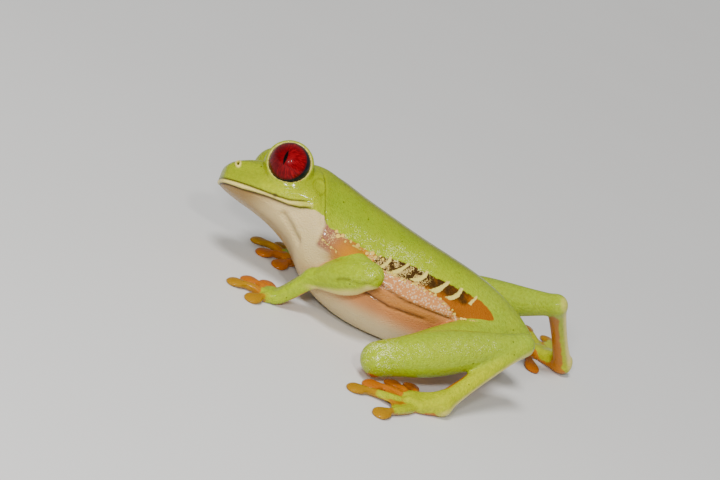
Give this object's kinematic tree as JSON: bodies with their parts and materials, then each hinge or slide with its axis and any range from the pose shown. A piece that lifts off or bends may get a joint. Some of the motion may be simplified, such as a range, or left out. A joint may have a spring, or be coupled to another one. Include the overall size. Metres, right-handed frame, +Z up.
{
  "type": "red-eyed tree frog model",
  "caption": "Life-size still model of a red-eyed tree frog, crouched with its head turned and its hind legs folded, resting on its belly, hands and feet.",
  "frame": {"origin": "on the floor, at the flat under the belly", "axes": "the frog faces -X, its left side is towards -Y, +Z is up"},
  "size_m": [0.0623, 0.0634, 0.0216],
  "materials": {
    "skin_green": "smooth, moist frog skin, yellow-green, satin with fine wet highlights",
    "skin_pale": "smooth, moist frog skin, cream to pinkish beige, finely granular",
    "skin_orange": "smooth, moist frog skin, orange, slightly translucent",
    "eye": "clear wet cornea over a deep red iris with a black upright slit pupil"
  },
  "bodies": {
    "root": {"head": "skin_green", "lower_jaw": "skin_pale", "trunk": "skin_green", "eye_left": "eye", "eye_right": "eye", "upper_arm_left": "skin_green", "upper_arm_right": "skin_green", "forearm_left": "skin_green", "forearm_right": "skin_green", "hand_left": "skin_orange", "hand_right": "skin_orange", "finger_1_left": "skin_orange", "finger_1_right": "skin_orange", "finger_2_left": "skin_orange", "finger_2_right": "skin_orange", "finger_3_left": "skin_orange", "finger_3_right": "skin_orange", "finger_4_left": "skin_green", "finger_4_right": "skin_green", "thigh_left": "skin_green", "thigh_right": "skin_green", "shank_left": "skin_green", "shank_right": "skin_green", "tarsus_left": "skin_green", "tarsus_right": "skin_green", "foot_left": "skin_orange", "foot_right": "skin_orange", "toe_1_left": "skin_orange", "toe_1_right": "skin_orange", "toe_2_left": "skin_orange", "toe_2_right": "skin_orange", "toe_3_left": "skin_orange", "toe_3_right": "skin_orange", "toe_4_left": "skin_orange", "toe_4_right": "skin_orange", "toe_5_left": "skin_green", "toe_5_right": "skin_green"}
  },
  "joints": []
}
